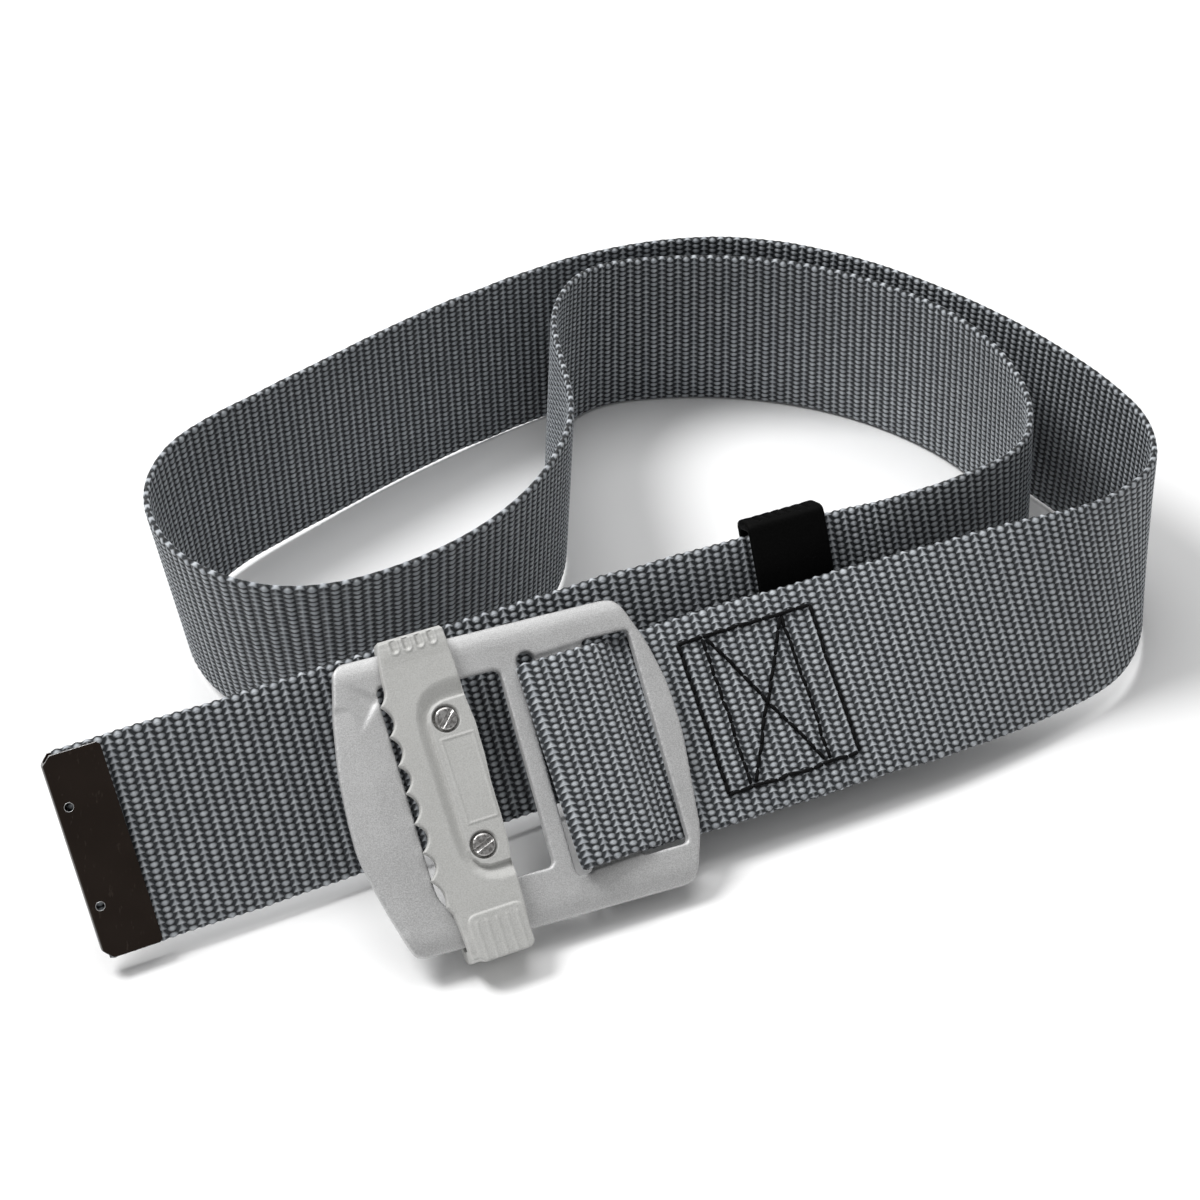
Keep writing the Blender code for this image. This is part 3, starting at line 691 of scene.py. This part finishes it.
def hook(sign, end, edge):
    """Section of a hook: over the rail's edge and back in behind it."""
    back = -2.95
    rows = [
        (edge - 5, 1.75), (edge - 5, 4.55), (edge - 2, 4.75), (end - 2.4, 4.7), (end - 1.3, 4.3), (end - 0.5, 3.6),
        (end, 2.4), (end, back + 0.6), (end - 0.3, back - 0.5), (end - 1.0, back - 1.2), (end - 2.2, back - 1.6),
        (edge - 3.3, back - 1.35), (edge - 3.3, back - 0.2), (edge - 0.6, back), (edge, back + 0.8), (edge, 1.4),
        (edge - 0.6, 1.75),
    ]
    return [(sign * y, z) for y, z in rows][::sign]


# %% Weld the slider's blank
def slider_blank():
    outline = [(-41.2, 38.0), (-41.9, 35), (-42.6, 30)] + scallops()
    outline += [TEETH[-1], (-43.4, -25), (-43.05, -28), (-42.8, -32), (-42.7, -36.2)] + RIGHT_SIDE
    verts, faces = [], []
    prism(verts, faces, outline, *PLATE_Z, 2)
    prism(verts, faces, hook(1, 38.7, 36.5), -40.9, -25.8, 0)
    prism(verts, faces, hook(-1, 36.7, 33.75), -42.6, -28.1, 0)
    prism(verts, faces, rounded_box(*PAD, 1.8), PLATE_Z[0], PLATE_Z[1] + 0.35, 2)
    mesh = bpy.data.meshes.new("slider_blank")
    mesh.from_pydata((np.array(verts) * MM).tolist(), [], faces)
    b = bmesh.new()
    b.from_mesh(mesh)
    bmesh.ops.recalc_face_normals(b, faces=b.faces)
    b.to_mesh(mesh)
    b.free()
    ob = bpy.data.objects.new("toothed_slider", mesh)
    bpy.context.scene.collection.objects.link(ob)
    return reskinned(ob, cell=0.21, relax=4)


def distance_to(xy, ring):
    """Signed distance to a closed outline, positive inside."""
    ring = np.array(ring)
    best = np.full(len(xy), 1e9)
    inside = np.zeros(len(xy), bool)
    for a, b in zip(ring, np.roll(ring, -1, axis=0)):
        d = b - a
        f = np.clip(((xy - a) @ d) / (d @ d), 0, 1)
        best = np.minimum(best, np.linalg.norm(xy - a - f[:, None] * d, axis=1))
        hit = (a[1] > xy[:, 1]) != (b[1] > xy[:, 1])
        cross = a[0] + (xy[:, 1] - a[1]) / (d[1] if d[1] else 1e-9) * d[0]
        inside ^= hit & (xy[:, 0] < cross)
    return np.where(inside, best, -best)


def step(value, lo, hi):
    f = np.clip((value - lo) / (hi - lo), 0, 1)
    return f * f * (3 - 2 * f)


# %% Press the front of the slider
def slider_heights(xy):
    h = np.zeros(len(xy))
    rim = distance_to(xy, SHOULDER)
    isle = distance_to(xy, ISLAND)
    cove = np.clip(rim / np.maximum(rim - isle, 1e-6), 0, 1)
    sunk = -RECESS_DEPTH * np.sin(cove * math.pi / 2) ** 1.6
    h += np.where((rim > 0) & (isle < 0), sunk, 0)
    h += np.where(isle >= 0, -RECESS_DEPTH + ISLAND_RISE * step(isle, -0.05, 0.3), 0)
    for x, y, _ in SEATS:
        h -= SEAT_DEPTH * step(SEAT_R - np.hypot(xy[:, 0] - x, xy[:, 1] - y), -0.1, 0.25)
    line = np.abs(distance_to(xy, LABEL))
    h += 0.16 * np.exp(-(line / 0.26) ** 2)
    for x in UPPER_GROOVES:
        away = np.hypot(xy[:, 0] - x, np.minimum(xy[:, 1] - 35.7, 0))
        h -= 0.55 * step(0.85 - away, 0.0, 0.55)
        h += 0.18 * np.exp(-((away - 1.05) / 0.25) ** 2)
    for x in LOWER_RIBS:
        away = np.hypot(xy[:, 0] - x, np.maximum(xy[:, 1] + 28.6, 0))
        h += np.where(xy[:, 1] < -26.9, 0.16 * np.exp(-(away / 0.42) ** 2), 0)
    return h


def build_slider():
    ob = slider_blank()
    mesh = ob.data
    co = np.zeros(len(mesh.vertices) * 3)
    no = np.zeros(len(mesh.vertices) * 3)
    mesh.vertices.foreach_get("co", co)
    mesh.vertices.foreach_get("normal", no)
    co, no = co.reshape(-1, 3) / MM, no.reshape(-1, 3)
    rise = slider_heights(co[:, :2]) * step(no[:, 2], 0.15, 0.7) * step(co[:, 2], 1.0, 3.0)
    co[:, 2] += rise
    mesh.vertices.foreach_set("co", to_floor(slider_point_all(co)).ravel())
    mesh.update()
    return ob


def slider_point_all(co):
    co = co + np.array(SLIDER_AT)
    return END + np.outer(co[:, 0], AXIS_X) + np.outer(co[:, 1] + WIDTH / 2, UP) + np.outer(co[:, 2], AXIS_Z)


slider = dressed(build_slider(), "slider", "slider")

# %% [markdown]
# ## Screws
# Two small turned screws with a slot hold the raised plate. Each is a turned profile: a flat washer face, a
# cylindrical head with a rounded rim and a slot cut across. The slot is pressed into the top with the same smooth
# steps as the slider's details, so its edges stay soft and catch a highlight.

# %% Turned screws
def build_screw(name, x, y, angle):
    seat = PLATE_Z[1] - 1.2
    profile = [
        (0, -1.0), (1.3, -1.0), (1.3, 0), (2.85, 0.02), (2.95, 0.12), (2.9, 0.3), (2.62, 0.34), (2.62, 0.95),
        (2.55, 1.15), (2.38, 1.28), (2.1, 1.34),
    ]
    profile += [(r, 1.36) for r in np.arange(2.0, 0.05, -0.1)] + [(0, 1.36)]
    sides = 64
    verts, faces = [], []
    slot = math.radians(angle)
    for r, z in profile:
        for k in range(sides):
            a = 2 * math.pi * k / sides
            px, py = r * math.cos(a), r * math.sin(a)
            off = abs(-px * math.sin(slot) + py * math.cos(slot))
            cut = 0.62 * float(step(np.array(0.52 - off), 0.0, 0.16)) if z > 1.2 else 0
            verts.append(slider_point((x + px, y + py, seat + z - cut)))
    for i in range(len(profile) - 1):
        for k in range(sides):
            q = (k + 1) % sides
            faces.append((i * sides + k, i * sides + q, (i + 1) * sides + q, (i + 1) * sides + k))
    ob = mesh_piece(name, verts, faces)
    b = bmesh.new()
    b.from_mesh(ob.data)
    bmesh.ops.remove_doubles(b, verts=b.verts, dist=1e-6)
    bmesh.ops.recalc_face_normals(b, faces=b.faces)
    b.to_mesh(ob.data)
    b.free()
    ob.data.polygons.foreach_set("use_smooth", [True] * len(ob.data.polygons))
    return ob


screws = []
for where, (sx, sy, turned) in zip(("upper", "lower"), SEATS):
    screw = build_screw(f"screw_{where}", sx, sy, turned)
    screws.append(dressed(screw, f"slider_screw_{where}", "slider"))


# %% [markdown]
# ## Cast, moulded and turned finishes
# Blasted castings, moulded plastic and turned steel differ in colour and grain size, but all show a fine even grain
# with slightly different edges. One group makes the grain, the speckle and an edge mask, and each material gives it
# a size and mixes its own three colours with the masks.

# %% Cast grain and wear, shared by the hard finishes
def grain_group():
    group, gin, gout = new_group(
        "cast_grain", [("Size", "NodeSocketFloat", 2500.0), ("Amount", "NodeSocketFloat", 1.0)],
        [("Height", "NodeSocketFloat"), ("Speckle", "NodeSocketFloat"), ("Wear", "NodeSocketFloat")])
    t = group
    coord = add(t, "ShaderNodeTexCoord").outputs["Object"]
    fine = add(t, "ShaderNodeTexNoise")
    t.links.new(coord, fine.inputs["Vector"])
    t.links.new(gin["Size"], fine.inputs["Scale"])
    fine.inputs["Detail"].default_value = 4.0
    t.links.new(math_node(t, "MULTIPLY", fine.outputs["Fac"], gin["Amount"]), gout["Height"])
    cloudy = noise(t, coord, 60.0, 3.0)
    mixed = math_node(t, "MULTIPLY_ADD", cloudy, 0.2, math_node(t, "MULTIPLY", fine.outputs["Fac"], 0.8))
    t.links.new(map_node(t, mixed, 0.36, 0.64), gout["Speckle"])
    edge = add(t, "ShaderNodeNewGeometry").outputs["Pointiness"]
    t.links.new(map_node(t, edge, 0.52, 0.60), gout["Wear"])
    return group


GRAIN = grain_group()
print("group", GRAIN.name, "nodes", len(GRAIN.nodes))


def cast_material(name, dark, light, worn, roughness, metallic, size, depth, specular):
    mat, t, shader = material(name, roughness, metallic)
    g = use_group(t, GRAIN, Size=size)
    colour = mix_colour(t, g.outputs["Speckle"], dark, light)
    colour = mix_colour(t, g.outputs["Wear"], colour, worn)
    t.links.new(colour, shader.inputs["Base Color"])
    rough = map_node(t, g.outputs["Speckle"], 0.0, 1.0, roughness - 0.06, roughness + 0.08)
    t.links.new(rough, shader.inputs["Roughness"])
    shader.inputs["Specular IOR Level"].default_value = specular
    bump(t, shader, g.outputs["Height"], depth * MM)
    return mat


FINISHES = {
    # name: dark, light and worn grey, roughness, metallic, grain size, grain depth, specular
    "satin_casting": ((0.46, 0.46, 0.46), (0.63, 0.63, 0.63), (0.60, 0.60, 0.60), 0.52, 0.45, 3800, 0.08, 0.5),
    "warm_casting": ((0.47, 0.47, 0.453), (0.57, 0.57, 0.555), (0.57, 0.57, 0.56), 0.6, 0.1, 3400, 0.08, 0.5),
    "keeper_black": ((0.001,) * 3, (0.003,) * 3, (0.005,) * 3, 0.6, 0, 2600, 0.05, 0.06),
    "turned_steel": ((0.30, 0.29, 0.28), (0.58, 0.57, 0.56), (0.75, 0.75, 0.75), 0.3, 1.0, 1500, 0.02, 0.5),
}
for piece, finish in ((buckle_frame, "satin_casting"), (slider, "warm_casting"), (keeper, "keeper_black")):
    piece.data.materials.append(cast_material(finish, *FINISHES[finish]))
    print(piece.name, "wears", finish)
STEEL = cast_material("turned_steel", *FINISHES["turned_steel"])
for screw in screws:
    screw.data.materials.append(STEEL)


# %% [markdown]
# ## The tip
# The tip is thin sheet, folded over the strap's end and lacquered a dark brown. Its cut edge shows bare metal, and
# the gloss is broken by faint scratches. Faces that look along the strap's width are the bare edge, so they get a
# second material slot.

# %% Tip materials
def lacquer_material():
    mat, t, shader = material("bronze_lacquer", 0.2, 0.0)
    coord = add(t, "ShaderNodeTexCoord").outputs["Object"]
    stretch = add(t, "ShaderNodeMapping")
    t.links.new(coord, stretch.inputs["Vector"])
    stretch.inputs["Scale"].default_value = (1.0, 0.12, 0.4)
    scratch = map_node(t, noise(t, stretch.outputs[0], 900.0, 2.0, 0.7), 0.62, 0.74)
    cloudy = noise(t, coord, 80.0, 2.0)
    base = mix_colour(t, cloudy, (0.012, 0.007, 0.004), (0.020, 0.012, 0.008))
    base = mix_colour(t, math_node(t, "MULTIPLY", scratch, 0.2), base, (0.09, 0.07, 0.055))
    t.links.new(base, shader.inputs["Base Color"])
    t.links.new(map_node(t, cloudy, 0.3, 0.7, 0.14, 0.26), shader.inputs["Roughness"])
    shader.inputs["Specular IOR Level"].default_value = 0.25
    return mat


EDGE_BAND = 0.9       # faces this near the tip's two ends, and facing them, are bare metal


def paint_tip():
    tip.data.materials.append(lacquer_material())
    tip.data.materials.append(STEEL)
    up = Vector(TO_FLOOR[:3, :3] @ place(0)[2][0]).normalized()
    heights = [up.dot(v.co) for v in tip.data.vertices]
    low, high = min(heights) + EDGE_BAND * MM, max(heights) - EDGE_BAND * MM
    for face in tip.data.polygons:
        at_edge = not low < up.dot(face.center) < high
        face.material_index = int(at_edge and abs(face.normal.dot(up)) > 0.6)


paint_tip()
print("tip slots", [slot.name for slot in tip.data.materials])


# %% Bright rims of the tip's two holes
TIP_HOLES = [(-10.6, 36.9), (-10.8, 12.9)]    # along the strap, across it
TIP_SKEW = 0.034
TIP_FRONT = THICK / 2 + 0.9                   # the tip's front face over the strap's middle
RIM_R = 1.05
RIM_WIRE = 0.07


def hole_rims():
    verts, faces = [], []
    base, along, up, out = (a[0] for a in place(0))
    n, m = 28, 6
    for s, v in TIP_HOLES:
        centre = base + up * v + along * (s + (WIDTH / 2 - v) * TIP_SKEW) + out * TIP_FRONT
        start = len(verts)
        for k in range(n):
            a = 2 * math.pi * k / n
            ray = along * math.cos(a) + up * math.sin(a)
            for j in range(m):
                c = 2 * math.pi * j / m
                verts.append(centre + ray * (RIM_R + RIM_WIRE * math.cos(c)) + out * (RIM_WIRE * math.sin(c) - 0.03))
        for k in range(n):
            for j in range(m):
                q, r = (k + 1) % n, (j + 1) % m
                faces.append((start + k * m + j, start + q * m + j, start + q * m + r, start + k * m + r))
    ob = mesh_piece("hole_rims", verts, faces)
    ob.data.materials.append(STEEL)
    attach(ob, "strap")
    print("hole rims", len(TIP_HOLES), "faces", len(faces))


hole_rims()

# %% [markdown]
# ## Floor and light
# A pale floor and two soft sources give the even light of a product photograph: the key stands high on the left and
# a little behind, so that edges facing it are bright. A broad weak source hangs overhead, and a pale surround fills
# the shadows.

# %% Floor
floor_mesh = bpy.data.meshes.new("floor")
floor_mesh.from_pydata([(-3, -3, 0), (3, -3, 0), (3, 3, 0), (-3, 3, 0)], [], [(0, 1, 2, 3)])
floor = bpy.data.objects.new("floor", floor_mesh)
floor.location.z = -0.0002
bpy.context.scene.collection.objects.link(floor)
floor_mat, _, floor_shader = material("pale_floor", 0.85)
floor_shader.inputs["Base Color"].default_value = (0.97, 0.97, 0.97, 1)
floor_mesh.materials.append(floor_mat)
print("floor at z", floor.location.z)


# %% Lights
def softbox(name, at, size, power):
    data = bpy.data.lights.new(name, "AREA")
    data.shape = "DISK"
    data.size = size
    data.energy = power
    ob = bpy.data.objects.new(name, data)
    bpy.context.scene.collection.objects.link(ob)
    ob.location = at
    ob.rotation_euler = Vector(at).to_track_quat("Z", "Y").to_euler()    # faces the belt's middle
    print(name, "at", at)


softbox("key", (-0.62, 0.22, 0.98), size=0.45, power=11.0)
softbox("overhead", (0.05, 0.3, 1.1), size=0.8, power=4.5)
world = bpy.data.worlds.new("surround")
bpy.context.scene.world = world
world.use_nodes = True
world.node_tree.nodes["Background"].inputs["Color"].default_value = (1, 1, 1, 1)
world.node_tree.nodes["Background"].inputs["Strength"].default_value = 0.33
bpy.context.scene.view_settings.view_transform = "Standard"
